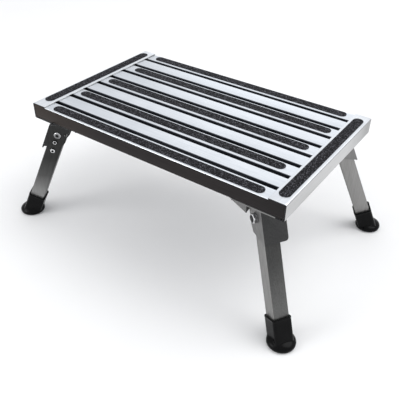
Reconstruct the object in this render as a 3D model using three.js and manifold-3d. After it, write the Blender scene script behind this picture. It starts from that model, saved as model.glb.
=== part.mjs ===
// Folding platform step: an aluminium slatted deck on four folding legs.
// Millimetres, +Z up, ground at z = 0, origin under the middle of the deck.
// X runs along the deck (long side), Y runs from the front rail to the back rail.
import * as THREE from 'three';
import { mergeVertices } from 'three/addons/utils/BufferGeometryUtils.js';
import Module from 'manifold-3d';

const wasm = await Module();
wasm.setup();
const { Manifold, Mesh: SolidMesh } = wasm;

// ---- driving dimensions -------------------------------------------------
const LENGTH = 483;            // deck, along X (19 in)
const WIDTH = 292;             // deck, along Y (11.5 in)
const DECK_Z = 226;            // top face of the end rails above the ground
const END_RAIL_H = 27.6;       // height of the end rail channel
const END_FLANGE_TOP = 27.5;   // top flange of the end rail
const END_FLANGE_BOTTOM = 14;  // bottom flange of the end rail
const SHEET = 1.6;             // wall of the rails
const GAP = 0.3;               // clearance between pieces that touch
const RAIL_TOP_W = 25;         // top flange of the front and back rails
const SLAT_W = 26;             // width of a slat
const SLAT_GAP = 7.5;          // open gap between slats
const SLAT_WALL = 1.5;
const TAPE_T = 0.7;            // grit tape thickness
const TAPE_W = 16.6;
const TAPE_L = 403;
const PSI = 31.5;              // plan angle of each leg from X, degrees
const SPLAY = 24;              // lean of an open leg from vertical, degrees
const FOLD = 112;              // travel of a leg from open to folded, degrees
const PIVOT_X = 203, PIVOT_Y = 126.5, PIVOT_Z = 180;
const TUBE = 25.4, TUBE_WALL = 1.5;
const TUBE_TOP_R = 14.5;       // round end of the leg tube about the pivot
const TUBE_REACH = 171;        // pivot to the lower end of the tube
const BRACKET_T = 2;           // bracket sheet
const FLANGE_R = 15;           // outer face of the right flange from the leg centre
const FLANGE_L = 22.6;         // outer face of the left flange from the leg centre
const WEB_OUT = 18.2;          // outer face of the web from the leg centre
const BRACKET_BOTTOM = -27;    // lower edge of the web and the right flange from the pivot
const LEFT_BOTTOM = -22.5;     // lower edge of the left flange from the pivot
const PLATE_TOP = 20;          // bracket plate, above the pivot
const BOLT_R = 4, HOLE_R = 4.3;
const BUTTON_T = 15.5;         // lock button below the pivot, along the leg
const BUTTON_TRAVEL = 4.6;
const RIVET_T = 41;            // spring rivet below the pivot, along the leg
const FOOT_R = 22.2;           // round foot of the boot
const BOOT_TOP = 44;           // rim of the boot above the ground, along the leg
const BOOT_W = 30.4;

const rad = (d) => d * Math.PI / 180;
const SP = rad(SPLAY);

// ---- solids -------------------------------------------------------------
function toSolid(geometry) {
  let g = geometry.clone();
  for (const k of Object.keys(g.attributes)) if (k !== 'position') g.deleteAttribute(k);
  g = mergeVertices(g, 1e-4);
  return new Manifold(new SolidMesh({
    numProp: 3,
    vertProperties: new Float32Array(g.attributes.position.array),
    triVerts: new Uint32Array(g.index.array),
  }));
}
function fromSolid(solid) {
  const m = solid.getMesh();
  const g = new THREE.BufferGeometry();
  const n = m.vertProperties.length / m.numProp;
  const pos = new Float32Array(n * 3);
  for (let i = 0; i < n; i++) for (let k = 0; k < 3; k++) pos[i * 3 + k] = m.vertProperties[i * m.numProp + k];
  g.setAttribute('position', new THREE.BufferAttribute(pos, 3));
  g.setIndex(new THREE.BufferAttribute(new Uint32Array(m.triVerts), 1));
  g.computeVertexNormals();
  return g;
}
const union = (list) => list.map(toSolid).reduce((a, b) => a.add(b));
const cut = (base, list) => fromSolid(list.map(toSolid).reduce((a, b) => a.subtract(b), base));

function shapeOf(points) {
  return new THREE.Shape(points.map(([x, y]) => new THREE.Vector2(x, y)));
}
function roundedRect(x0, y0, x1, y1, r, segs = 2) {
  const pts = [];
  const corner = (cx, cy, a0) => {
    for (let i = 0; i <= segs; i++) {
      const a = rad(a0 + 90 * i / segs);
      pts.push([cx + r * Math.cos(a), cy + r * Math.sin(a)]);
    }
  };
  corner(x1 - r, y1 - r, 0);
  corner(x0 + r, y1 - r, 90);
  corner(x0 + r, y0 + r, 180);
  corner(x1 - r, y0 + r, 270);
  return pts;
}
// profile in (x, y), pulled along +Z
function alongZ(points, z0, z1, holes = []) {
  const s = shapeOf(points);
  for (const h of holes) s.holes.push(new THREE.Path(h.map(([x, y]) => new THREE.Vector2(x, y))));
  const g = new THREE.ExtrudeGeometry(s, { depth: z1 - z0, bevelEnabled: false });
  g.translate(0, 0, z0);
  return g;
}
// profile in (y, z), pulled along +X
function alongX(points, x0, x1) {
  const g = new THREE.ExtrudeGeometry(shapeOf(points), { depth: x1 - x0, bevelEnabled: false });
  const m = new THREE.Matrix4().makeBasis(new THREE.Vector3(0, 1, 0), new THREE.Vector3(0, 0, 1), new THREE.Vector3(1, 0, 0));
  g.applyMatrix4(m);
  g.translate(x0, 0, 0);
  return g;
}
// profile in (x, z), pulled along Y from y0 to y1
function alongY(points, y0, y1) {
  const g = new THREE.ExtrudeGeometry(shapeOf(points), { depth: y1 - y0, bevelEnabled: false });
  const m = new THREE.Matrix4().makeBasis(new THREE.Vector3(1, 0, 0), new THREE.Vector3(0, 0, 1), new THREE.Vector3(0, -1, 0));
  g.applyMatrix4(m);
  g.translate(0, y1, 0);
  return g;
}
// turned solid about a Y axis, profile of (radius, y)
function turned(profile, segs = 16) {
  return new THREE.LatheGeometry(profile.map(([r, y]) => new THREE.Vector2(r, y)), segs);
}
const drill = (r, y0, y1, x = 0, z = 0, segs = 16) =>
  turned([[0, y0], [r, y0], [r, y1], [0, y1]], segs).translate(x, 0, z);

// ---- materials ----------------------------------------------------------
const mat = (color, roughness, metalness) => new THREE.MeshStandardMaterial({ color, roughness, metalness });
const ALU_TOP = mat(0xdfe4ec, 0.34, 0.9);
const ALU_SIDE = mat(0xc9cacb, 0.36, 0.9);
const GRIT = mat(0x2b2b30, 0.95, 0);
const LEG_METAL = mat(0x8e8d8b, 0.4, 0.85);
const BRACKET_METAL = mat(0x7d7d7c, 0.42, 0.85);
const CHROME = mat(0xdadada, 0.15, 1);
const RUBBER = mat(0x161616, 0.45, 0);
const SPRING_STEEL = mat(0x9fa3a8, 0.3, 1);
const STEEL = mat(0xb8bbc0, 0.3, 1);

const step = new THREE.Group();
function add(parent, name, geometry, material) {
  const m = new THREE.Mesh(geometry, material);
  m.name = name;
  parent.add(m);
  return m;
}

// ---- deck ---------------------------------------------------------------
const HX = LENGTH / 2, HY = WIDTH / 2;
const endBottom = DECK_Z - END_RAIL_H;
const innerTop = DECK_Z - SHEET - GAP;          // top of rails and slats
const innerBottom = endBottom + SHEET + GAP;    // bottom of rails and slats
const innerX = HX - SHEET - GAP;                // end of rails and slats

// end rails: channels with the wide flange on top, open towards the middle
for (const [side, s] of [['right_end_rail', 1], ['left_end_rail', -1]]) {
  const c = 1.8;
  let p = [
    [HX - END_FLANGE_TOP, DECK_Z], [HX - END_FLANGE_TOP, DECK_Z - SHEET],
    [HX - SHEET, DECK_Z - SHEET], [HX - SHEET, endBottom + SHEET],
    [HX - END_FLANGE_BOTTOM, endBottom + SHEET], [HX - END_FLANGE_BOTTOM, endBottom],
    [HX - c, endBottom], [HX - c * 0.29, endBottom + c * 0.29], [HX, endBottom + c],
    [HX, DECK_Z - c], [HX - c * 0.29, DECK_Z - c * 0.29], [HX - c, DECK_Z],
  ];
  if (s < 0) p = p.map(([x, z]) => [-x, z]).reverse();
  add(step, side, alongY(p, -HY, HY), ALU_SIDE);
}

// front and back rails: channels nested between the end rails
for (const [side, s] of [['front_rail', -1], ['back_rail', 1]]) {
  const f = HY - 0.5, c = 1.4, lip = 14, t = SHEET;
  let p = [
    [f - RAIL_TOP_W + 0.5, innerTop], [f - c, innerTop], [f - c * 0.29, innerTop - c * 0.29], [f, innerTop - c],
    [f, innerBottom + c], [f - c * 0.29, innerBottom + c * 0.29], [f - c, innerBottom],
    [f - lip, innerBottom], [f - lip, innerBottom + t], [f - t, innerBottom + t],
    [f - t, innerTop - t], [f - RAIL_TOP_W + 0.5 + t, innerTop - t],
    [f - RAIL_TOP_W + 0.5 + t, innerTop - 12], [f - RAIL_TOP_W + 0.5, innerTop - 12],
  ];
  p = p.map(([y, z]) => [s * y, z]);
  if (s > 0) p.reverse();
  add(step, side, alongX(p, -innerX, innerX), ALU_TOP);
}

// slats: inverted channels
const slatY = (i) => -HY + RAIL_TOP_W + SLAT_GAP + SLAT_W / 2 + (i - 1) * (SLAT_W + SLAT_GAP);
for (let i = 1; i <= 7; i++) {
  const h = SLAT_W / 2, c = 1.0, t = SLAT_WALL, b = innerBottom;
  const p = [
    [-h, b], [-h + t, b], [-h + t, innerTop - t], [h - t, innerTop - t], [h - t, b], [h, b],
    [h, innerTop - c], [h - c * 0.29, innerTop - c * 0.29], [h - c, innerTop],
    [-h + c, innerTop], [-h + c * 0.29, innerTop - c * 0.29], [-h, innerTop - c],
  ];
  add(step, `slat_${i}`, alongX(p, -innerX, innerX), ALU_TOP).position.y = slatY(i);
}

// grit tapes with round ends
function tapeGeometry(length, width) {
  const r = width / 2, h = length / 2 - r, pts = [], n = 6;
  for (let i = 0; i <= n; i++) { const a = rad(-90 + 180 * i / n); pts.push([h + r * Math.cos(a), r * Math.sin(a)]); }
  for (let i = 0; i <= n; i++) { const a = rad(90 + 180 * i / n); pts.push([-h + r * Math.cos(a), r * Math.sin(a)]); }
  return alongZ(pts, 0, TAPE_T);
}
const tapeOnSlat = innerTop + GAP;
const tapes = [
  ['front_rail_tape', 0.3, -HY + 12.8, TAPE_L],
  ['slat_2_tape', -5.0, slatY(2) + 1.4, TAPE_L],
  ['slat_4_tape', -2.0, slatY(4) + 1.4, TAPE_L],
  ['slat_6_tape', 3.5, slatY(6) + 1.2, TAPE_L],
  ['back_rail_tape', 1.0, HY - 11.6, TAPE_L],
];
for (const [name, x, y, len] of tapes) {
  add(step, name, tapeGeometry(len, TAPE_W), GRIT).position.set(x, y, tapeOnSlat);
}
for (const [name, x, y, len] of [['left_end_tape', -HX + 12.6, 4, 262], ['right_end_tape', HX - 14.2, 0, 264]]) {
  const m = add(step, name, tapeGeometry(len, 17.2), GRIT);
  m.rotation.z = Math.PI / 2;
  m.position.set(x, y, DECK_Z + 0.25);
}

// cross braces under the slats
for (const [name, x] of [['left_cross_brace', -78], ['right_cross_brace', 78]]) {
  add(step, name, alongZ(roundedRect(x - 10, -HY + 1, x + 10, HY - 1, 3, 2), innerBottom - GAP - 2.5, innerBottom - GAP), ALU_SIDE);
}

// ---- corner: bracket, pivot, leg ---------------------------------------
// Corner frame: X outward in plan, Y to the left when looking outward, Z up,
// origin on the pivot axis. Leg frame: the same turned by the splay, so that
// the leg runs down -Z and X is square to its outer face.
const perp = (p, z) => (p - z * Math.sin(SP)) / Math.cos(SP);   // X of a line parallel to the leg

const legFrame = new THREE.Matrix4().makeRotationY(-SP);
const inLeg = (g) => g.applyMatrix4(legFrame);

function bracketGeometry(sx, sy, corner) {
  const top = PLATE_TOP - 1;
  const flange = (lo, hi, bottom) => alongY([
    [perp(-16.2, top), top], [perp(-16.2, bottom + 8.5), bottom + 8.5], [perp(-13, bottom), bottom],
    [perp(WEB_OUT, bottom), bottom], [perp(WEB_OUT, top), top],
  ], lo, hi);
  const tb = (BRACKET_BOTTOM - WEB_OUT * Math.sin(SP)) / Math.cos(SP);
  const r = 4.5, y0 = -FLANGE_R, y1 = FLANGE_L, webPts = [[y1, 12.6], [y0, 12.6], [y0, tb]];
  for (let i = 0; i <= 3; i++) { const a = rad(270 + 30 * i); webPts.push([y1 - r + r * Math.cos(a), tb + r + r * Math.sin(a)]); }
  const web = inLeg(alongX(webPts, WEB_OUT - BRACKET_T, WEB_OUT));
  const lip = inLeg(alongY([[13.1, tb + 1.2], [WEB_OUT - 1, tb + 1.2], [WEB_OUT - 1, tb + 3.2], [13.1, tb + 3.2]], -9, 9));
  // cradle walls: deep gusset on the right, shallow one on the left, each ending in a small tab
  const rightWall = alongY([[-19, top], [-104, top], [-98, 4], [-76, -13.5], [-19, -3.6]], -20.2, -18.4);
  const leftWall = alongY([[-30, top], [-104, top], [-92, 5], [-30, 5]], 18.4, 20.2);
  const rightTab = alongX([[-14.2, 3], [-14.2, top], [-19, top], [-19, -3.2]], -20.8, -19);
  const leftTab = alongX([[19, 5.4], [19, top], [14.2, top], [14.2, 10.6]], -31.8, -30);
  const parts = [
    flange(-FLANGE_R, -FLANGE_R + BRACKET_T, BRACKET_BOTTOM), flange(FLANGE_L - BRACKET_T, FLANGE_L, LEFT_BOTTOM), web, lip,
    rightWall, leftWall, rightTab, leftTab,
    alongZ([[-104, -20.2], [0, -20.2], [0, 20.2], [-104, 20.2]], PLATE_TOP - 2, PLATE_TOP),
  ];
  for (const g of parts) g.applyMatrix4(corner);
  // corner plate under the rails, in deck coordinates
  let pts = [[158, HY - 0.6], [HX - END_FLANGE_BOTTOM - GAP, HY - 0.6], [HX - END_FLANGE_BOTTOM - GAP, 88], [206, 74], [150, 108]]
    .map(([x, y]) => [sx * x, sy * y]);
  if (sx * sy < 0) pts.reverse();
  parts.push(alongZ(pts.reverse(), PIVOT_Z + PLATE_TOP - 2, PIVOT_Z + PLATE_TOP));
  const place = (g) => g.applyMatrix4(corner);
  const fx = -BUTTON_T * Math.sin(rad(FOLD - SPLAY)), fz = -BUTTON_T * Math.cos(rad(FOLD - SPLAY));
  const cuts = [
    place(drill(HOLE_R, -FLANGE_R - 2, FLANGE_L + 2)),
    place(drill(3.9, 12, FLANGE_L + 2, BUTTON_T * Math.sin(SP), -BUTTON_T * Math.cos(SP))),
    place(drill(3.9, 20.3, FLANGE_L + 2, fx, fz)),
    place(alongY([[fx - 8, fz - 3.2], [fx, fz - 3.2], [fx, fz + 3.2], [fx - 8, fz + 3.2]], 20.3, FLANGE_L + 2)),
  ];
  return cut(union(parts), cuts);
}

function tubeGeometry() {
  const h = TUBE / 2, hi = h - TUBE_WALL;
  const outer = alongZ(roundedRect(-h, -h, h, h, 2.2), -TUBE_REACH, TUBE_TOP_R + 1);
  const bore = alongZ(roundedRect(-hi, -hi, hi, hi, 1), -TUBE_REACH - 1, TUBE_TOP_R + 2);
  const keep = toSolid(drill(TUBE_TOP_R, -h - 1, h + 1, 0, 0, 28))
    .add(toSolid(alongZ([[-h - 1, -h - 1], [h + 1, -h - 1], [h + 1, h + 1], [-h - 1, h + 1]], -TUBE_REACH - 1, 0)));
  const body = toSolid(outer).subtract(toSolid(bore)).intersect(keep);
  return cut(body, [
    drill(HOLE_R, -h - 1, h + 1),
    drill(3.9, 5, h + 1, 0, -BUTTON_T),
    drill(2.7, 5, h + 1, 0, -RIVET_T, 12),
  ]);
}

// rubber boot: square sleeve on the leg, joined to a round level foot
function bootGeometry() {
  const ground = PIVOT_Z / Math.cos(SP);           // pivot to ground along the leg
  const w = BOOT_W / 2;
  const sleeve = toSolid(inLeg(alongZ(roundedRect(-w, -w, w, w, 4, 3), -ground - 12, BOOT_TOP - ground)))
    .intersect(toSolid(alongZ([[0, -60], [140, -60], [140, 60], [0, 60]], -PIVOT_Z, 0)));
  const R = FOOT_R;
  const foot = turned([[0, 0], [R - 3.4, 0], [R - 1.2, 1], [R, 3.2], [R - 0.3, 5.2], [R - 1.6, 7.8], [R - 4, 10.2], [R - 8, 12.2], [0, 14]], 28)
    .rotateX(Math.PI / 2).translate(PIVOT_Z * Math.tan(SP), 0, -PIVOT_Z);
  const h = TUBE / 2 + 0.25;
  const socket = inLeg(alongZ(roundedRect(-h, -h, h, h, 2.2), -TUBE_REACH - GAP, 0));
  return cut(sleeve.add(toSolid(foot)), [socket]);
}

function nutGeometry() {
  const pts = [], hole = [], af = 13;
  for (let i = 0; i < 6; i++) { const a = rad(60 * i); pts.push([af / Math.sqrt(3) * Math.cos(a), af / Math.sqrt(3) * Math.sin(a)]); }
  for (let i = 0; i < 16; i++) { const a = rad(22.5 * i); hole.push([HOLE_R * Math.cos(a), HOLE_R * Math.sin(a)]); }
  const g = alongZ(pts, 0, 5.6, [hole]);
  g.applyMatrix4(new THREE.Matrix4().makeBasis(new THREE.Vector3(1, 0, 0), new THREE.Vector3(0, 0, 1), new THREE.Vector3(0, -1, 0)));
  g.translate(0, -FLANGE_R - GAP, 0);
  return g;
}

const corners = [
  ['front_right', 1, -1, -PSI], ['back_right', 1, 1, PSI],
  ['back_left', -1, 1, 180 - PSI], ['front_left', -1, -1, 180 + PSI],
];
for (const [name, sx, sy, phi] of corners) {
  const corner = new THREE.Group();
  corner.position.set(sx * PIVOT_X, sy * PIVOT_Y, PIVOT_Z);
  corner.rotation.z = rad(phi);
  corner.updateMatrix();
  step.add(corner);
  add(step, `${name}_bracket`, bracketGeometry(sx, sy, corner.matrix), BRACKET_METAL);

  // pivot: domed bolt head on the left flange, spacer bush, nut on the right flange
  const hl = FLANGE_L + GAP;
  add(corner, `${name}_pivot_bolt`, turned([
    [0, -FLANGE_R - 8.2], [3.2, -FLANGE_R - 8.2], [BOLT_R, -FLANGE_R - 7.4], [BOLT_R, hl],
    [6.3, hl], [6.3, hl + 1.1], [5.6, hl + 2.3], [4.2, hl + 3.1], [2.6, hl + 3.4], [2.2, hl + 2.2], [0, hl + 2.2],
  ], 16), CHROME);
  add(corner, `${name}_pivot_nut`, nutGeometry(), CHROME);
  add(corner, `${name}_pivot_bush`, turned([
    [HOLE_R, TUBE / 2 + GAP], [6.6, TUBE / 2 + GAP], [6.6, FLANGE_L - BRACKET_T - GAP], [HOLE_R, FLANGE_L - BRACKET_T - GAP], [HOLE_R, TUBE / 2 + GAP],
  ], 16), STEEL);

  const leg = new THREE.Group();
  leg.rotation.y = -SP;
  corner.add(leg);
  add(leg, `${name}_leg`, tubeGeometry(), LEG_METAL);
  add(corner, `${name}_boot`, bootGeometry(), RUBBER);

  // lock button on a leaf spring inside the tube, riveted to the left wall
  const inner = TUBE / 2 - TUBE_WALL;
  add(leg, `${name}_lock_button`, turned([
    [0, inner - 1.5], [5, inner - 1.5], [5, inner - GAP], [3.5, inner - GAP], [3.5, FLANGE_L + 1.4],
    [3.0, FLANGE_L + 2.1], [2.2, FLANGE_L + 2.3], [1.5, FLANGE_L + 1.6], [0, FLANGE_L + 1.6],
  ], 14), CHROME).position.z = -BUTTON_T;
  const leafY = inner - 1.5 - GAP - 0.8;
  let leaf = toSolid(alongZ([[-5, leafY], [5, leafY], [5, leafY + 0.8], [-5, leafY + 0.8]], -RIVET_T - 6, -BUTTON_T + 6));
  add(leg, `${name}_button_spring`, cut(leaf, [drill(2.7, leafY - 1, leafY + 2, 0, -RIVET_T, 12)]), SPRING_STEEL);
  add(leg, `${name}_spring_rivet`, turned([
    [0, leafY - 1.5], [3.2, leafY - 1.5], [3.6, leafY - 0.3], [2.4, leafY - 0.3], [2.4, TUBE / 2 + GAP],
    [4.4, TUBE / 2 + GAP], [4.3, TUBE / 2 + 1.1], [3.4, TUBE / 2 + 2.0], [2.0, TUBE / 2 + 2.3], [1.5, TUBE / 2 + 1.6], [0, TUBE / 2 + 1.6],
  ], 14), CHROME).position.z = -RIVET_T;
}

export default step;
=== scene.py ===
import bpy, bmesh, math, random
import numpy as np
from mathutils import Matrix, Vector


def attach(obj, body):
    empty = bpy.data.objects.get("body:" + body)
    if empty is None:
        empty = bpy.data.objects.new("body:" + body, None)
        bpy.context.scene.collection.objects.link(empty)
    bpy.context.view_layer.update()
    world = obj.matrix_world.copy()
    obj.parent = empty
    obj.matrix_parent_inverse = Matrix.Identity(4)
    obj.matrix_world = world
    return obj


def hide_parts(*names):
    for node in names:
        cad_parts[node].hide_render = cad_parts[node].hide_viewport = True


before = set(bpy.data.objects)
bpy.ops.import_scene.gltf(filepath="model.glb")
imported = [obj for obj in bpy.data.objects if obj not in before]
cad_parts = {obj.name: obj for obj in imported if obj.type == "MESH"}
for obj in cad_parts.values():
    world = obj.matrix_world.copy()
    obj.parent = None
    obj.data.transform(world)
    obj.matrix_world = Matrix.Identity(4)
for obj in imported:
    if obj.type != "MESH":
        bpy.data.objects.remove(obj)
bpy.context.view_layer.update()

scene = bpy.context.scene
MM = 0.001
scene.view_settings.view_transform = "Standard"
scene.view_settings.look = "None"

# ------------------------------------------------------------------ camera
cam = bpy.data.cameras.new("camera")
cam.sensor_fit = "HORIZONTAL"
cam.sensor_width = 36.0
cam.lens = 48.6415
cam.clip_start, cam.clip_end = 0.02, 30
cam_ob = bpy.data.objects.new("camera", cam)
scene.collection.objects.link(cam_ob)
rot = Matrix(((0.814129, -0.355864, 0.458862), (0.58054, 0.481203, -0.656824), (0.012934, 0.801127, 0.598354)))
cam_ob.matrix_world = Matrix.Translation((0.465728, -0.660816, 0.644056)) @ rot.to_4x4()
scene.camera = cam_ob

# ------------------------------------------------------------ light, floor
world = bpy.data.worlds.new("studio")
scene.world = world
world.use_nodes = True
wn, wl = world.node_tree.nodes, world.node_tree.links
wn.clear()
w_out = wn.new("ShaderNodeOutputWorld")
w_bg = wn.new("ShaderNodeBackground")
w_tc = wn.new("ShaderNodeTexCoord")
w_sep = wn.new("ShaderNodeSeparateXYZ")
w_ramp = wn.new("ShaderNodeValToRGB")
wl.new(w_tc.outputs["Generated"], w_sep.inputs[0])
w_mr = wn.new("ShaderNodeMapRange")
w_mr.inputs["From Min"].default_value = -0.2
w_mr.inputs["From Max"].default_value = 1.0
wl.new(w_sep.outputs["Z"], w_mr.inputs["Value"])
wl.new(w_mr.outputs[0], w_ramp.inputs[0])
e = w_ramp.color_ramp.elements
e[0].position, e[0].color = 0.0, (0.80, 0.81, 0.83, 1)
e[1].position, e[1].color = 1.0, (0.97, 0.98, 1.0, 1)
wl.new(w_ramp.outputs[0], w_bg.inputs["Color"])
w_bg.inputs["Strength"].default_value = 0.88
wl.new(w_bg.outputs[0], w_out.inputs["Surface"])


def area(name, loc, target, size, energy, color=(1, 1, 1), size_y=None):
    d = bpy.data.lights.new(name, "AREA")
    d.energy, d.color, d.size = energy, color, size
    if size_y:
        d.shape, d.size_y = "RECTANGLE", size_y
    o = bpy.data.objects.new(name, d)
    o.location = loc
    o.rotation_euler = (Vector(target) - Vector(loc)).to_track_quat("-Z", "Y").to_euler()
    scene.collection.objects.link(o)
    return o


area("key", (1.3, 0.9, 2.4), (0, 0, 0.15), 2.0, 30, (1.0, 1.0, 1.0))
area("fill_back", (-1.0, 2.2, 0.7), (0, 0, 0.1), 1.2, 2, (0.97, 0.98, 1.0))
area("front_left", (-1.3, -1.7, 1.3), (0, 0, 0.1), 1.1, 15, (1.0, 1.0, 1.0))

# --------------------------------------------------------------- materials


def new_mat(name):
    m = bpy.data.materials.new(name)
    m.use_nodes = True
    nt = m.node_tree
    nt.nodes.clear()
    out = nt.nodes.new("ShaderNodeOutputMaterial")
    b = nt.nodes.new("ShaderNodeBsdfPrincipled")
    nt.links.new(b.outputs[0], out.inputs["Surface"])
    return m, nt, b


def coords(nt, scale=(1, 1, 1), rot=(0, 0, 0)):
    tc = nt.nodes.new("ShaderNodeTexCoord")
    mp = nt.nodes.new("ShaderNodeMapping")
    mp.inputs["Scale"].default_value = scale
    mp.inputs["Rotation"].default_value = rot
    nt.links.new(tc.outputs["Object"], mp.inputs["Vector"])
    return mp.outputs[0]


def noise(nt, vec, scale, detail=3, rough=0.55, dist=0.0):
    n = nt.nodes.new("ShaderNodeTexNoise")
    n.inputs["Scale"].default_value = scale
    n.inputs["Detail"].default_value = detail
    n.inputs["Roughness"].default_value = rough
    n.inputs["Distortion"].default_value = dist
    nt.links.new(vec, n.inputs["Vector"])
    return n.outputs["Fac"]


def maprange(nt, val, a, b, c, d):
    n = nt.nodes.new("ShaderNodeMapRange")
    for k, v in (("From Min", a), ("From Max", b), ("To Min", c), ("To Max", d)):
        n.inputs[k].default_value = v
    nt.links.new(val, n.inputs["Value"])
    return n.outputs[0]


def ramp(nt, val, stops, mode="LINEAR"):
    n = nt.nodes.new("ShaderNodeValToRGB")
    n.color_ramp.interpolation = mode
    el = n.color_ramp.elements
    while len(el) < len(stops):
        el.new(0.5)
    for e_, (p, c) in zip(el, stops):
        e_.position = p
        e_.color = (*c, 1) if len(c) == 3 else c
    nt.links.new(val, n.inputs[0])
    return n.outputs[0]


def math_node(nt, op, a, b):
    n = nt.nodes.new("ShaderNodeMath")
    n.operation = op
    for i, v in enumerate((a, b)):
        if isinstance(v, (int, float)):
            n.inputs[i].default_value = v
        else:
            nt.links.new(v, n.inputs[i])
    return n.outputs[0]


def bump(nt, bsdf, height, strength, distance, prev=None):
    n = nt.nodes.new("ShaderNodeBump")
    n.inputs["Strength"].default_value = strength
    n.inputs["Distance"].default_value = distance
    nt.links.new(height, n.inputs["Height"])
    if prev is not None:
        nt.links.new(prev, n.inputs["Normal"])
    nt.links.new(n.outputs[0], bsdf.inputs["Normal"])
    return n.outputs[0]


def shade(nt, col, axis, lo, hi, stops):
    """Painted light and shade: a colour made lighter or darker along one axis of the piece."""
    tc = nt.nodes.new("ShaderNodeTexCoord")
    sep = nt.nodes.new("ShaderNodeSeparateXYZ")
    nt.links.new(tc.outputs["Object"], sep.inputs[0])
    fac = maprange(nt, sep.outputs[axis], lo, hi, 0.0, 1.0)
    mx = nt.nodes.new("ShaderNodeMix")
    mx.data_type, mx.blend_type = "RGBA", "MULTIPLY"
    mx.inputs[0].default_value = 1.0
    nt.links.new(col, mx.inputs[6])
    nt.links.new(ramp(nt, fac, stops), mx.inputs[7])
    return mx.outputs[2]


def brushed(name, dark, light, rough=(0.24, 0.42), axis="X", metallic=1.0, line=900, bumps=0.12, smudge=0.06, along=None):
    """Metal with fine lines along one axis and patchy polish."""
    m, nt, b = new_mat(name)
    s = {"X": (0.02, 1, 1), "Y": (1, 0.02, 1), "Z": (1, 1, 0.02)}[axis]
    v = coords(nt, s)
    lines = noise(nt, v, line, 4, 0.6)
    fine = noise(nt, v, line * 3, 2, 0.5)
    patch = noise(nt, coords(nt), 14, 4, 0.6)
    both = math_node(nt, "ADD", math_node(nt, "MULTIPLY", lines, 0.7), math_node(nt, "MULTIPLY", patch, 0.3))
    col = ramp(nt, both, [(0.32, dark), (0.62, light)])
    # painted light and shade: an along ramp multiplies a lighter or darker run into the colour
    if along:
        col = shade(nt, col, *along)
    nt.links.new(col, b.inputs["Base Color"])
    b.inputs["Metallic"].default_value = metallic
    r = math_node(nt, "ADD", maprange(nt, lines, 0.3, 0.7, rough[0], rough[1]), maprange(nt, patch, 0.3, 0.7, -smudge, smudge))
    nt.links.new(r, b.inputs["Roughness"])
    n1 = bump(nt, b, lines, bumps, 0.0002)
    bump(nt, b, fine, bumps * 0.6, 0.0001, n1)
    return m


def g(v):
    return (v, v, v)


# painted shade: the tread metal is painted darker towards its left end (negative X)
M_TREAD = brushed("tread_brushed", (0.80, 0.848, 0.905), (0.92, 0.95, 0.99), (0.32, 0.46), "X",
                  along=("X", -0.24, 0.24, [(0.0, g(0.86)), (0.25, g(0.94)), (0.6, g(1.0)), (1.0, g(1.0))]))
# painted shade: near-black copy of the tread metal for slat side walls, parts of their rounded edges and the rails'
# inner faces, standing in for shade in the gaps
M_TREAD_SIDE_SHADE = brushed("tread_side_painted_shade", (0.030, 0.033, 0.042), (0.070, 0.076, 0.092), (0.38, 0.5), "X", metallic=0.9)
M_RAIL_TOP = brushed("rail_top_brushed", (0.80, 0.835, 0.88), (0.92, 0.945, 0.975), (0.32, 0.46), "Y")
# painted shade: the channel's side wall is a darker copy of the bright top metal and is painted darker still towards
# the back end
M_RAIL_WEB_SHADED = brushed("rail_web_painted_shade", (0.49, 0.49, 0.49), (0.61, 0.61, 0.61), (0.26, 0.40), "Y",
                     along=("Y", -0.146, 0.146, [(0.0, g(0.93)), (0.2, g(0.98)), (0.68, g(0.98)), (0.86, g(0.74)), (1.0, g(0.48))]))
# painted shade: a grey copy of the rail metal for the bend between top and side wall
M_RAIL_BEND_SHADE = brushed("rail_bend_painted_shade", (0.33, 0.33, 0.34), (0.46, 0.46, 0.47), (0.3, 0.45), "Y", metallic=0.9)
# painted reflection: the rails' outer face, underside and top rounding beyond the tapes are painted near-black, with a
# warm-to-grey run along X, in place of what the metal mirrors
M_FASCIA_REFLECTION = brushed("fascia_painted_reflection", (0.022, 0.020, 0.0195), (0.040, 0.0365, 0.0355), (0.34, 0.46), "X", metallic=0.85,
                   along=("X", -0.242, 0.242, [(0.0, (1.0, 0.80, 0.64)), (0.16, (0.82, 0.68, 0.60)), (0.34, (0.60, 0.56, 0.58)), (0.75, (0.72, 0.68, 0.70)), (1.0, (0.60, 0.60, 0.62))]))
# painted shade: near-black copy of the rail metal for the channel's end faces and their rounding, putting out their
# highlights
M_RAIL_END_SHADE = brushed("rail_end_painted_shade", (0.012, 0.012, 0.014), (0.032, 0.032, 0.036), (0.4, 0.55), "Z", metallic=0.9)
M_LEG_SIDE = brushed("leg_side", (0.225, 0.222, 0.216), (0.325, 0.32, 0.314), (0.34, 0.48), "Z", metallic=0.9)
# painted reflection: the tube's plus side is painted dark at the top and light near the boot
M_LEG_SIDE_REFLECTION = brushed("leg_side_painted_reflection", (0.27, 0.27, 0.265), (0.37, 0.37, 0.365), (0.34, 0.48), "Z", metallic=0.9,
                     along=("Z", 0.03, 0.19, [(0.0, g(1.25)), (0.15, g(0.86)), (0.22, g(0.62)), (0.37, g(0.26)), (0.6, g(0.11)), (1.0, g(0.10))]))
# painted shade: the tube's outer and inner faces are a dark copy of its metal, painted lighter towards the boot
M_LEG_OUT_SHADE = brushed("leg_outer_painted_shade", (0.085, 0.085, 0.083), (0.145, 0.145, 0.142), (0.34, 0.48), "Z", metallic=0.9,
                    along=("Z", 0.03, 0.19, [(0.0, g(1.18)), (0.2, g(1.08)), (0.38, g(0.90)), (0.6, g(0.62)), (1.0, g(0.50))]))
M_BRACKET = brushed("bracket_sheet", (0.17, 0.168, 0.166), (0.27, 0.267, 0.264), (0.34, 0.5), "Z", metallic=0.9)
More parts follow.
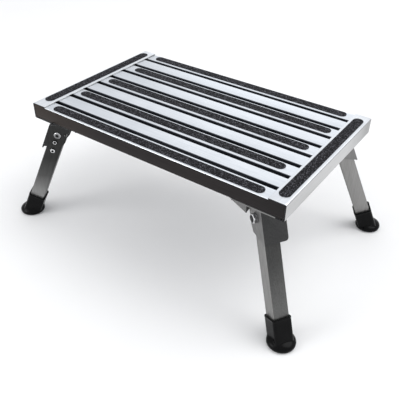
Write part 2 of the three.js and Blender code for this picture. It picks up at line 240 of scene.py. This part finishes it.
# painted shade: near-black copies of the bracket sheet for its side-facing faces and its outward web
M_BRACKET_SIDE_SHADE = brushed("bracket_side_painted_shade", (0.022, 0.022, 0.022), (0.042, 0.042, 0.041), (0.36, 0.5), "Z", metallic=0.9)
M_BRACKET_WEB_SHADE = brushed("bracket_web_painted_shade", (0.035, 0.035, 0.035), (0.065, 0.065, 0.065), (0.36, 0.5), "Z", metallic=0.9)
M_UNDER = brushed("underside_mill", (0.30, 0.31, 0.33), (0.44, 0.45, 0.47), (0.38, 0.55), "X", metallic=0.95)


def chrome_mat():
    m, nt, b = new_mat("bright_chrome")
    v = coords(nt)
    n = noise(nt, v, 600, 3)
    nt.links.new(ramp(nt, n, [(0.35, (0.66, 0.66, 0.67)), (0.65, (0.86, 0.86, 0.87))]), b.inputs["Base Color"])
    b.inputs["Metallic"].default_value = 1.0
    nt.links.new(maprange(nt, n, 0.3, 0.7, 0.08, 0.2), b.inputs["Roughness"])
    bump(nt, b, noise(nt, v, 2500, 2), 0.05, 0.0001)
    return m


# painted shade: near-black for the hollows of bolt sockets, buttons and rivets, in place of the shade inside them
def recess_shade_mat():
    m, nt, b = new_mat("recess_painted_shade")
    n = noise(nt, coords(nt), 900, 2)
    nt.links.new(ramp(nt, n, [(0.3, (0.006, 0.006, 0.006)), (0.7, (0.02, 0.02, 0.02))]), b.inputs["Base Color"])
    nt.links.new(maprange(nt, n, 0.3, 0.7, 0.5, 0.75), b.inputs["Roughness"])
    return m


def rubber_mat():
    m, nt, b = new_mat("boot_rubber")
    v = coords(nt)
    cloud = noise(nt, v, 60, 4)
    pore = noise(nt, v, 1800, 3)
    nt.links.new(ramp(nt, cloud, [(0.3, (0.0014, 0.0014, 0.0016)), (0.7, (0.0034, 0.0034, 0.0037))]), b.inputs["Base Color"])
    nt.links.new(math_node(nt, "ADD", maprange(nt, cloud, 0.3, 0.7, 0.17, 0.27), maprange(nt, pore, 0.3, 0.7, -0.03, 0.05)), b.inputs["Roughness"])
    b.inputs["Specular IOR Level"].default_value = 0.10
    bump(nt, b, pore, 0.10, 0.0003)
    return m


def grit_mat():
    """Black tape set with crushed mineral: dark grains, and a few lighter grains in the colour that are partly the
    mineral's own tone and partly painted glints.
    """
    m, nt, b = new_mat("grit_tape")
    v = coords(nt)
    vo = nt.nodes.new("ShaderNodeTexVoronoi")
    vo.inputs["Scale"].default_value = 1050
    nt.links.new(v, vo.inputs["Vector"])
    sep = nt.nodes.new("ShaderNodeSeparateColor")
    nt.links.new(vo.outputs["Color"], sep.inputs[0])
    grain = sep.outputs[0]
    big = noise(nt, v, 420, 4, 0.7)
    mix = math_node(nt, "ADD", math_node(nt, "MULTIPLY", grain, 0.62), math_node(nt, "MULTIPLY", big, 0.38))
    nt.links.new(ramp(nt, mix, [(0.20, (0.002, 0.002, 0.0025)), (0.50, (0.0065, 0.0065, 0.0082)), (0.70, (0.022, 0.022, 0.027)), (0.82, (0.17, 0.17, 0.195))]), b.inputs["Base Color"])
    nt.links.new(maprange(nt, sep.outputs[1], 0.0, 1.0, 0.55, 1.0), b.inputs["Roughness"])
    b.inputs["Specular IOR Level"].default_value = 0.16
    n1 = bump(nt, b, mix, 0.9, 0.0006)
    return m


def spring_mat():
    return brushed("spring_strip", (0.20, 0.21, 0.23), (0.34, 0.35, 0.37), (0.25, 0.4), "Z", metallic=1.0)


M_CHROME, M_RECESS_SHADE, M_RUBBER, M_GRIT, M_SPRING = chrome_mat(), recess_shade_mat(), rubber_mat(), grit_mat(), spring_mat()
# painted reflection and shade: a darker copy of the chrome and a near-black copy, used as bands on bolts, nuts, buttons
# and rivets
M_FASTENER_REFLECTION = brushed("fastener_painted_reflection", (0.16, 0.16, 0.165), (0.26, 0.26, 0.265), (0.22, 0.34), "Y", metallic=1.0)
M_FASTENER_SHADE = brushed("fastener_painted_shade", (0.02, 0.02, 0.02), (0.05, 0.05, 0.052), (0.4, 0.6), "Y", metallic=0.8)

# floor
m_floor, nt, b = new_mat("floor_pale")
fl = noise(nt, coords(nt), 3.0, 3)
nt.links.new(ramp(nt, fl, [(0.3, (0.925, 0.925, 0.925)), (0.7, (0.94, 0.94, 0.94))]), b.inputs["Base Color"])
nt.links.new(maprange(nt, fl, 0.3, 0.7, 0.75, 0.85), b.inputs["Roughness"])
me = bpy.data.meshes.new("floor")
me.from_pydata([(-9, -9, 0), (9, -9, 0), (9, 9, 0), (-9, 9, 0)], [], [(0, 1, 2, 3)])
floor = bpy.data.objects.new("floor", me)
floor.data.materials.append(m_floor)
floor.location.z = -0.0004
scene.collection.objects.link(floor)

# ------------------------------------------------------------ mesh helpers


def link(name, mesh, mats):
    o = bpy.data.objects.new(name, mesh)
    scene.collection.objects.link(o)
    for m in mats:
        mesh.materials.append(m)
    return o


def bake(o):
    """The piece's modifiers, applied."""
    dg = bpy.context.evaluated_depsgraph_get()
    dg.update()
    me_ = bpy.data.meshes.new_from_object(o.evaluated_get(dg), depsgraph=dg)
    o.modifiers.clear()
    o.data = me_


def smooth(o, angle=38):
    for p in o.data.polygons:
        p.use_smooth = True
    o.data.set_sharp_from_angle(angle=math.radians(angle))


def bevel(o, width, segs=2, angle=35):
    md = o.modifiers.new("bevel", "BEVEL")
    md.width, md.segments, md.limit_method = width, segs, "ANGLE"
    md.angle_limit = math.radians(angle)
    md.use_clamp_overlap = True
    md.miter_outer = "MITER_ARC"
    bake(o)


def arc(cx, cy, r, a0, a1, n):
    return [(cx + r * math.cos(math.radians(a0 + (a1 - a0) * i / n)), cy + r * math.sin(math.radians(a0 + (a1 - a0) * i / n))) for i in range(n + 1)]


def prism(name, prof, axis, lo, hi, mats, slices=1):
    """A closed profile pulled along an axis. Profile points are the other two axes in X, Y, Z order, in millimetres."""
    bm = bmesh.new()
    rings = []
    for k in range(slices + 1):
        t = lo + (hi - lo) * k / slices
        ring = []
        for u, v in prof:
            p = {"X": (t, u, v), "Y": (u, t, v), "Z": (u, v, t)}[axis]
            ring.append(bm.verts.new([c * MM for c in p]))
        rings.append(ring)
    n = len(prof)
    for k in range(slices):
        for i in range(n):
            bm.faces.new((rings[k][i], rings[k][(i + 1) % n], rings[k + 1][(i + 1) % n], rings[k + 1][i]))
    bm.faces.new(rings[0][::-1])
    bm.faces.new(rings[-1])
    bmesh.ops.recalc_face_normals(bm, faces=bm.faces)
    me_ = bpy.data.meshes.new(name)
    bm.to_mesh(me_)
    bm.free()
    return link(name, me_, mats)


def lathe(name, prof, mats, place, segs=56, slots=None, hexes=None):
    """Turned piece: (radius, along) profile from axis to axis, in millimetres, about local Y, put in place by a matrix.
    slots gives each profile step its material, hexes the steps whose ring is a hexagon."""
    bm = bmesh.new()
    rings = []
    for j, (r, y) in enumerate(prof):
        if r <= 1e-6:
            rings.append([bm.verts.new(place @ Vector((0, y * MM, 0)))])
            continue
        ring = []
        for i in range(segs):
            a = 2 * math.pi * i / segs
            q = r
            if hexes and j in hexes:
                s = (a + math.pi / 6) % (math.pi / 3) - math.pi / 6
                q = r * math.cos(math.pi / 6) / math.cos(s)
            ring.append(bm.verts.new(place @ Vector((q * math.cos(a) * MM, y * MM, q * math.sin(a) * MM))))
        rings.append(ring)
    for j in range(len(rings) - 1):
        a, c = rings[j], rings[j + 1]
        for i in range(segs):
            k = (i + 1) % segs
            if len(a) == 1 and len(c) == 1:
                continue
            if len(a) == 1:
                f = bm.faces.new((a[0], c[i], c[k]))
            elif len(c) == 1:
                f = bm.faces.new((a[i], c[0], a[k]))
            else:
                f = bm.faces.new((a[i], c[i], c[k], a[k]))
            if slots:
                f.material_index = slots[j]
    bmesh.ops.recalc_face_normals(bm, faces=bm.faces)
    me_ = bpy.data.meshes.new(name)
    bm.to_mesh(me_)
    bm.free()
    return link(name, me_, mats)


def from_cad(node, name, mats, width=0.35, segs=2, angle=35):
    """A CAD solid with its facets joined into whole faces and its edges softened."""
    me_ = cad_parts[node].data.copy()
    me_.materials.clear()
    me_.name = name
    bm = bmesh.new()
    bm.from_mesh(me_)
    bmesh.ops.remove_doubles(bm, verts=bm.verts, dist=2e-6)
    bmesh.ops.recalc_face_normals(bm, faces=bm.faces)
    bmesh.ops.dissolve_limit(bm, angle_limit=math.radians(1.0), verts=bm.verts, edges=bm.edges)
    bm.to_mesh(me_)
    bm.free()
    o = link(name, me_, mats)
    if width:
        bevel(o, width * MM, segs, angle)
    return o


def paint(o, rule):
    for p in o.data.polygons:
        p.material_index = rule(p.normal, p.center)


# ------------------------------------------------------------ dimensions
L, W, TOP = 483.0, 292.0, 226.0
HX, HY = L / 2, W / 2
T, GAP = 1.6, 0.3
BOT = TOP - 27.6
IN_TOP, IN_BOT, IN_X = TOP - T - GAP, BOT + T + GAP, HX - T - GAP
PSI, SPLAY = math.radians(31.5), math.radians(24)
PIVOT = Vector((203.0, 126.5, 180.0))


# ------------------------------------------------------------- end rails
def channel_end(s):
    r, ri, t = 2.1, 0.8, T
    p = []
    p += arc(HX - 27.5 + 0.5, TOP - 0.5, 0.5, 180, 90, 3)
    p += arc(HX - r, TOP - r, r, 90, 0, 7)
    p += arc(HX - r, BOT + r, r, 0, -90, 7)
    p += arc(HX - 14 + 0.5, BOT + 0.5, 0.5, 270, 180, 3)
    p += [(HX - 14, BOT + t)]
    p += arc(HX - t - ri, BOT + t + ri, ri, -90, 0, 3)
    p += arc(HX - t - ri, TOP - t - ri, ri, 0, 90, 3)
    p += [(HX - 27.5, TOP - t)]
    return [(s * x, z) for x, z in p]


for s, side in ((1, "right"), (-1, "left")):
    o = prism(f"{side}_end_rail_shell", channel_end(s), "Y", -HY, HY, [M_RAIL_TOP, M_RAIL_WEB_SHADED, M_RAIL_END_SHADE, M_RAIL_BEND_SHADE], 24)
    bevel(o, 0.25 * MM, 2, 60)
    # painted shade: end faces take the near-black end copy, the bend under the top edge the grey bend copy and the side
    # wall the shaded web copy; flat top faces keep the bright top metal
    def rule(n, c):
        if abs(n.y) > 0.25 and abs(abs(c.y) - HY * MM) < 0.001:
            return 2
        if n.z > 0.72 and c.z > (TOP - 3) * MM:
            return 0
        return 3 if n.z > 0.3 and c.z > (TOP - 3) * MM else 1
    paint(o, rule)
    smooth(o, 40)
    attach(o, "deck"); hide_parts(f"{side}_end_rail")

# ------------------------------------------------------- front, back rails
for s, side in ((-1, "front"), (1, "back")):
    f, r, t = HY - 0.5, 1.6, T
    i0 = f - 25 + 0.5
    p = []
    p += arc(i0 + 0.9, IN_TOP - 0.9, 0.9, 180, 90, 4)
    p += arc(f - r, IN_TOP - r, r, 90, 0, 6)
    p += arc(f - r, IN_BOT + r, r, 0, -90, 6)
    p += arc(f - 14 + 0.5, IN_BOT + 0.5, 0.5, 270, 180, 2)
    p += [(f - 14, IN_BOT + t), (f - t, IN_BOT + t), (f - t, IN_TOP - t), (i0 + t, IN_TOP - t), (i0 + t, IN_TOP - 12)]
    p += [(i0, IN_TOP - 12)]
    p = [(s * y, z) for y, z in p]
    o = prism(f"{side}_rail_shell", p, "X", -IN_X, IN_X, [M_TREAD, M_FASCIA_REFLECTION, M_UNDER, M_TREAD_SIDE_SHADE], 56)
    # painted reflection and shade: the top's outer rounding beyond the tape ends, the outer face and the underside take
    # the near-black fascia copy, inner faces towards the slats take the dark side copy, and flat top faces keep the
    # bright tread
    def rule(n, c, s=s):
        if n.y * s > 0.1 and abs(c.x) > 0.2139 and c.z > (IN_TOP - 3) * MM:
            return 1
        if n.z > 0.6 and c.z > (IN_TOP - 3) * MM:
            return 0
        if n.y * s > 0.3 or (n.z < -0.5 and c.z < (IN_BOT + 1) * MM):
            return 1
        if n.y * s < -0.3 and c.y * s < (HY - 20) * MM:
            return 3
        return 2
    paint(o, rule)
    smooth(o, 40)
    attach(o, "deck"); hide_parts(f"{side}_rail")

# ------------------------------------------------------------------ slats
def slat_y(i):
    return -HY + 25 + 7.5 + 13 + (i - 1) * 33.5


for i in range(1, 8):
    h, t, r = 13.0, 1.5, 1.35
    y0 = slat_y(i)
    p = arc(h - r, IN_TOP - r, r, 0, 90, 5) + arc(-h + r, IN_TOP - r, r, 90, 180, 5)
    p += [(-h, IN_BOT), (-h + t, IN_BOT), (-h + t, IN_TOP - t), (h - t, IN_TOP - t), (h - t, IN_BOT), (h, IN_BOT)]
    p = [(y0 + y, z) for y, z in p]
    o = prism(f"slat_{i}_shell", p, "X", -IN_X, IN_X, [M_TREAD, M_TREAD_SIDE_SHADE, M_UNDER], 32)
    # painted shade: only the flattest faces of the top rounding keep the bright tread; the rest of the rounding and the
    # side walls take the dark side copy and the underside metal, widening the dark gaps
    paint(o, lambda n, c: 0 if n.z > 0.93 and c.z > (IN_TOP - 1.4) * MM else (1 if abs(n.y) > 0.5 and c.z > (IN_BOT + 1) * MM and abs(abs(c.y * 1000 - y0) - 13) < 0.5 else 2))
    smooth(o, 40)
    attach(o, "deck"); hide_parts(f"slat_{i}")

# ------------------------------------------------------------------ tapes
rng = np.random.default_rng(7)


def tape(name, node, cx, cy, length, width, z0, thick, along="X"):
    """Grit tape with round ends: a rough crowned skin over a thin backing."""
    r, hl = width / 2, length / 2
    nx, ny = int(length / 0.95), int(width / 1.0)
    xs = np.linspace(-hl, hl, nx + 1)
    bm = bmesh.new()
    rows = []
    for x in xs:
        over = max(0.0, abs(x) - (hl - r))
        half = math.sqrt(max(r * r - over * over, 0.0))
        half = max(half, 0.35)
        row = []
        for j in range(ny + 1):
            y = half * (2 * j / ny - 1)
            edge = min(1.0, (half - abs(y)) / 0.5, (hl - abs(x)) / 0.5 + 0.2)
            z = z0 + thick * (0.72 + 0.28 * max(0.0, edge) ** 0.5)
            if edge > 0.9:
                z += float(rng.normal(0, 0.055))
            jx, jy = (float(rng.uniform(-0.18, 0.18)), float(rng.uniform(-0.18, 0.18))) if edge > 0.9 else (0.0, 0.0)
            p = (cx + x + jx, cy + y + jy, z) if along == "X" else (cx - y - jy, cy + x + jx, z)
            row.append(bm.verts.new([c * MM for c in p]))
        rows.append(row)
    for a, c in zip(rows[:-1], rows[1:]):
        for j in range(ny):
            bm.faces.new((a[j], c[j], c[j + 1], a[j + 1]))
    rim = [row[0] for row in rows] + rows[-1][1:] + [row[-1] for row in rows[:-1]][::-1] + rows[0][1:-1][::-1]
    low = [bm.verts.new((v.co.x, v.co.y, (z0 - 0.0) * MM)) for v in rim]
    n = len(rim)
    for i in range(n):
        bm.faces.new((rim[i], low[i], low[(i + 1) % n], rim[(i + 1) % n]))
    bm.faces.new(low)
    bmesh.ops.recalc_face_normals(bm, faces=bm.faces)
    me_ = bpy.data.meshes.new(name)
    bm.to_mesh(me_)
    bm.free()
    o = link(name, me_, [M_GRIT])
    smooth(o, 50)
    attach(o, "deck"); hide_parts(node)


tape("front_rail_grit", "front_rail_tape", 0.3, -HY + 12.8, 403, 16.6, IN_TOP + 0.02, 0.9)
tape("slat_2_grit", "slat_2_tape", -5.0, slat_y(2) + 1.4, 403, 16.6, IN_TOP + 0.02, 0.9)
tape("slat_4_grit", "slat_4_tape", -2.0, slat_y(4) + 1.4, 403, 16.6, IN_TOP + 0.02, 0.9)
tape("slat_6_grit", "slat_6_tape", 3.5, slat_y(6) + 1.2, 403, 16.6, IN_TOP + 0.02, 0.9)
tape("back_rail_grit", "back_rail_tape", 1.0, HY - 11.6, 403, 16.6, IN_TOP + 0.02, 0.9)
tape("left_end_grit", "left_end_tape", -HX + 12.6, 4, 262, 17.2, TOP + 0.02, 0.85, "Y")
tape("right_end_grit", "right_end_tape", HX - 14.2, 0, 264, 17.2, TOP + 0.02, 0.85, "Y")

# ----------------------------------------------------------- cross braces
for side, x in (("left", -78), ("right", 78)):
    z1 = IN_BOT - GAP
    p = [(x - 10, z1 - 2.5), (x + 10, z1 - 2.5), (x + 10, z1), (x - 10, z1)]
    o = prism(f"{side}_brace_bar", p, "Y", -HY + 6, HY - 6, [M_UNDER], 12)
    bevel(o, 0.5 * MM, 3, 60)
    smooth(o, 40)
    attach(o, "deck"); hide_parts(f"{side}_cross_brace")


def join(name, objs):
    bm = bmesh.new()
    mats = list(objs[0].data.materials)
    for q in objs:
        bm.from_mesh(q.data)
    me_ = bpy.data.meshes.new(name)
    bm.to_mesh(me_)
    bm.free()
    for q in objs:
        bpy.data.objects.remove(q)
    return link(name, me_, mats)


def rivet_down(x, y, z, r=3.0, h=1.3):
    place = Matrix.Translation(Vector((x, y, z)) * MM) @ Matrix.Rotation(-math.pi / 2, 4, "X")
    prof = [(0, 0.0), (r, 0.0)] + [(r * math.cos(math.radians(a)), 0.25 + h * math.sin(math.radians(a))) for a in (8, 25, 42, 60, 76)] + [(0, 0.25 + h)]
    return lathe("rivet", prof, [M_CHROME], place, 24)


for side, x in (("left", -78), ("right", 78)):
    z = IN_BOT - GAP - 2.5
    ys = [-HY + 11, HY - 11] + [slat_y(i) for i in range(1, 8)]
    o = join(f"{side}_brace_rivets", [rivet_down(x, y, z) for y in ys])
    smooth(o, 50)
    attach(o, "deck")

# ------------------------------------------------------- corner assemblies
N_BOOT = 96


def leg_to_corner():
    return Matrix.Rotation(-SPLAY, 4, "Y")


for name, sx, sy, phi in (("front_right", 1, -1, -PSI), ("back_right", 1, 1, PSI),
                          ("back_left", -1, 1, math.pi - PSI), ("front_left", -1, -1, math.pi + PSI)):
    corner = Matrix.Translation(Vector((sx * PIVOT.x, sy * PIVOT.y, PIVOT.z)) * MM) @ Matrix.Rotation(phi, 4, "Z")
    legm = corner @ leg_to_corner()
    out_n = (legm.to_3x3() @ Vector((1, 0, 0))).normalized()
    side_n = (legm.to_3x3() @ Vector((0, 1, 0))).normalized()
    leg_body, btn_body = f"{name}_leg_body", f"{name}_button_body"

    # bracket
    o = from_cad(f"{name}_bracket", f"{name}_bracket_sheet", [M_BRACKET, M_BRACKET_WEB_SHADE, M_UNDER, M_BRACKET_SIDE_SHADE], 0.4, 2)
    # painted shade: faces turned outward take the near-black web copy and faces turned along side_n the near-black side
    # copy; level faces of the top plate take the underside metal, the rest the plain sheet
    paint(o, lambda n, c: 1 if n.dot(out_n) > 0.5 else (3 if n.dot(side_n) > 0.35 else (2 if abs(n.z) > 0.8 and c.z > 0.195 else 0)))
    smooth(o, 38)
    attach(o, "deck"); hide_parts(f"{name}_bracket")

    # plate rivets
    pts = [(172, 138), (196, 138), (220, 130), (220, 96), (214, 84)]
    o = join(f"{name}_plate_rivets", [rivet_down(sx * a, sy * c, PIVOT.z + 18) for a, c in pts if True])
    smooth(o, 50)
    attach(o, "deck")

    # leg tube
    o = from_cad(f"{name}_leg", f"{name}_leg_tube", [M_LEG_SIDE, M_LEG_OUT_SHADE, M_LEG_SIDE_REFLECTION], 0.25, 2, 50)
    # painted light and shade: lit and shaded copies of one tube finish chosen by facing; the plus side takes the
    # painted reflection run, outer and inner faces the dark shaded copy, the rest the lighter side copy
    paint(o, lambda n, c: 2 if n.dot(side_n) > 0.6 else (1 if abs(n.dot(out_n)) > 0.7 else 0))
    smooth(o, 38)
    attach(o, leg_body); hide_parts(f"{name}_leg")

    # boot: square sleeve with a thick rim, standing in a round level foot
    ground = 180 / math.cos(SPLAY)
    tan, cosv = math.tan(SPLAY), math.cos(SPLAY)
    rot_leg = leg_to_corner().to_3x3()
    FR, N = 22.2, N_BOOT
    foot_x = 180 * tan
    angs = []
    for q in range(4):                       # more points round the sleeve's corners
        for k in range(N // 4):
            u = k / (N // 4)
            angs.append(math.pi / 2 * (q + u + 0.09 * math.sin(2 * math.pi * u)))

    def rr(a, hx, hy, r):                    # reach of a rounded rectangle in one direction
        c_, s_ = abs(math.cos(a)), abs(math.sin(a))
        k = min(hx / max(c_, 1e-9), hy / max(s_, 1e-9))
        if k * c_ > hx - r and k * s_ > hy - r:
            ox, oy = hx - r, hy - r
            bq = c_ * ox + s_ * oy
            k = bq + math.sqrt(max(bq * bq - (ox * ox + oy * oy - r * r), 0))
        return k

    def foot_r(z):                           # the foot's radius at a height
        if z < 3.3:
            return FR - 3.3 + math.sqrt(max(3.3 ** 2 - (3.3 - z) ** 2, 0))
        if z < 4.2:
            return FR
        u = (z - 4.2) / 9.2
        return FR * (1 - u * u) ** 0.48 if u < 1 else 0.0

    def level(z):                            # level section, foot and sleeve together
        x0 = (180 - z) * tan
        ring = []
        for a in angs:
            d1 = rr(a, 15.2 / cosv, 15.2, 4.2)
            R2 = foot_r(z)
            if R2 > 0:
                ex = foot_x - x0
                bq = ex * math.cos(a)
                d2 = bq + math.sqrt(max(R2 * R2 - ex * ex * math.sin(a) ** 2, 0))
            else:
                d2 = 0.0
            k = 1.3
            h = max(k - abs(d1 - d2), 0) / k
            d = max(d1, d2) + h * h * k / 4
            ring.append(Vector((x0 + d * math.cos(a), d * math.sin(a), z - 180)))
        return ring

    def tilted(t, f, w, r):                  # section of the sleeve, level at f = 0 and square to the leg at f = 1
        tilt = SPLAY * (1 - f)
        axis_pt = rot_leg @ Vector((0, 0, -t))
        U = Vector((math.cos(SPLAY - tilt), 0, math.sin(SPLAY - tilt)))
        ring = []
        for a in angs:
            d = rr(a, w / math.cos(tilt), w, r)
            ring.append(axis_pt + U * (d * math.cos(a)) + Vector((0, d * math.sin(a), 0)))
        return ring

    outer = [[Vector((foot_x + 0.5 * (FR - 3.4) * math.cos(a), 0.5 * (FR - 3.4) * math.sin(a), -180)) for a in angs]]
    outer += [level(z) for z in (0, 0.1, 0.4, 0.9, 1.6, 2.4, 3.3, 4.2, 4.8, 5.4, 6.0, 6.6, 7.2, 7.8, 8.4, 9.0, 9.6, 10.2, 10.8, 11.4, 12.0, 12.6, 13.2, 14.0)]
    t0 = (180 - 14.0) / cosv
    top_t = ground - 44
    for f in (0.12, 0.28, 0.46, 0.64, 0.82):
        outer.append(tilted(t0 + (top_t + 3.2 - t0) * f, f, 15.2, 4.2))
    outer += [tilted(top_t + 3.0, 1, 15.2, 4.2), tilted(top_t + 2.6, 1, 15.25, 4.2), tilted(top_t + 2.2, 1, 15.45, 4.3), tilted(top_t + 0.8, 1, 15.5, 4.3), tilted(top_t + 0.3, 1, 15.3, 4.2), tilted(top_t, 1, 14.8, 3.8), tilted(top_t, 1, 13.9, 3.2), tilted(top_t + 0.25, 1, 13.3, 2.7)]
    inner = [tilted(top_t + 0.9, 1, 12.95, 2.3), tilted(171.3, 1, 12.95, 2.3)]
    bm = bmesh.new()
    rings = [[bm.verts.new(corner @ (p * MM)) for p in ring] for ring in outer + inner]
    for a, c in zip(rings[:-1], rings[1:]):
        for i in range(N_BOOT):
            k = (i + 1) % N_BOOT
            bm.faces.new((a[i], a[k], c[k], c[i]))
    bm.faces.new(rings[0][::-1])
    bm.faces.new(rings[-1])
    bmesh.ops.recalc_face_normals(bm, faces=bm.faces)
    me_ = bpy.data.meshes.new(f"{name}_rubber_boot")
    bm.to_mesh(me_)
    bm.free()
    o = link(f"{name}_rubber_boot", me_, [M_RUBBER])
    smooth(o, 50)
    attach(o, leg_body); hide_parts(f"{name}_boot")

    # pivot bolt: domed head with a hexagon socket, shank, threaded tail
    hl = 22.6 + 0.05
    prof = [(0, -21.6), (2.9, -21.6), (3.9, -20.6), (3.9, hl), (6.3, hl), (6.35, hl + 0.9), (6.1, hl + 1.6), (5.6, hl + 2.3), (4.9, hl + 2.85), (4.1, hl + 3.2), (3.3, hl + 3.3), (3.0, hl + 3.15), (3.0, hl + 1.2), (0, hl + 1.0)]
    # painted reflection and shade: the dome's bands alternate the darker chrome copy with bright chrome rings, the
    # socket is painted near-black and the tail end is painted dark
    o = lathe(f"{name}_pivot_bolt_turned", prof, [M_CHROME, M_RECESS_SHADE], corner, 72, [2, 2, 0, 0, 0, 3, 3, 0, 3, 3, 3, 1, 1], hexes={11, 12})
    o.data.materials.append(M_FASTENER_SHADE)
    o.data.materials.append(M_FASTENER_REFLECTION)
    smooth(o, 40)
    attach(o, "deck"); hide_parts(f"{name}_pivot_bolt")
    # pivot nut: hexagon with chamfered corners on a washer face
    prof = [(4.0, -15.05), (7.2, -15.05), (7.3, -15.5), (7.0, -15.9), (7.45, -16.0), (7.45, -19.6), (6.6, -20.4), (5.9, -20.85), (5.2, -20.9), (4.7, -20.6), (4.3, -19.9), (4.0, -19.4), (4.0, -15.05)]
    # painted reflection and shade: the washer face and the inside of the nut are painted near-black, the hexagon flats
    # take the darker chrome copy, leaving a bright chrome ring on the lower chamfer
    o = lathe(f"{name}_pivot_nut_hex", prof, [M_CHROME, M_FASTENER_SHADE, M_FASTENER_REFLECTION], corner, 72, [1, 1, 2, 1, 2, 0, 0, 2, 1, 1, 1, 1], hexes={4, 5})
    smooth(o, 30)
    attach(o, "deck"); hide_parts(f"{name}_pivot_nut")
    # spacer bush
    prof = [(4.3, 13.0), (6.2, 13.0), (6.6, 13.4), (6.6, 19.9), (6.2, 20.3), (4.3, 20.3), (4.3, 13.0)]
    o = lathe(f"{name}_spacer_bush", prof, [M_SPRING], corner, 56)
    smooth(o, 40)
    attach(o, "deck"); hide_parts(f"{name}_pivot_bush")

    # lock button
    place = legm @ Matrix.Translation(Vector((0, 0, -15.5)) * MM)
    e0 = 22.6
    prof = [(0, 9.7), (4.8, 9.7), (5.0, 9.9), (5.0, 10.7), (4.8, 10.9), (3.5, 10.9), (3.5, e0 + 1.2), (3.4, e0 + 1.7), (3.1, e0 + 2.1), (2.7, e0 + 2.25), (2.3, e0 + 2.1), (2.0, e0 + 1.6), (1.9, e0 + 0.4), (0, e0 + 0.3)]
    # painted reflection and shade: the flange, stem and most of the cap take the darker chrome copy, with a chrome ring
    # near the cap's top and a near-black hollow in the middle
    o = lathe(f"{name}_lock_button_turned", prof, [M_CHROME, M_RECESS_SHADE, M_FASTENER_REFLECTION], place, 56, [2] * 8 + [0, 0, 2, 1, 1])
    smooth(o, 40)
    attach(o, btn_body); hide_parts(f"{name}_lock_button")
    # spring rivet
    place = legm @ Matrix.Translation(Vector((0, 0, -41.0)) * MM)
    prof = [(0, 7.1), (3.0, 7.1), (3.6, 7.6), (3.6, 8.3), (2.4, 8.3), (2.4, 12.75), (4.4, 12.75), (4.45, 13.2), (4.2, 14.0), (3.7, 14.6), (3.0, 15.0), (2.4, 14.9), (2.0, 14.4), (1.9, 13.4), (0, 13.3)]
    # painted reflection and shade: the rivet's body takes the darker chrome copy, with a chrome ring round its head and
    # a near-black hollow
    o = lathe(f"{name}_tubular_rivet", prof, [M_CHROME, M_RECESS_SHADE, M_FASTENER_REFLECTION], place, 56, [2] * 8 + [0, 0, 0, 2, 1, 1])
    smooth(o, 40)
    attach(o, leg_body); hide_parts(f"{name}_spring_rivet")
    # leaf spring
    o = from_cad(f"{name}_button_spring", f"{name}_leaf_spring", [M_SPRING], 0.2, 2)
    smooth(o, 38)
    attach(o, leg_body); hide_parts(f"{name}_button_spring")
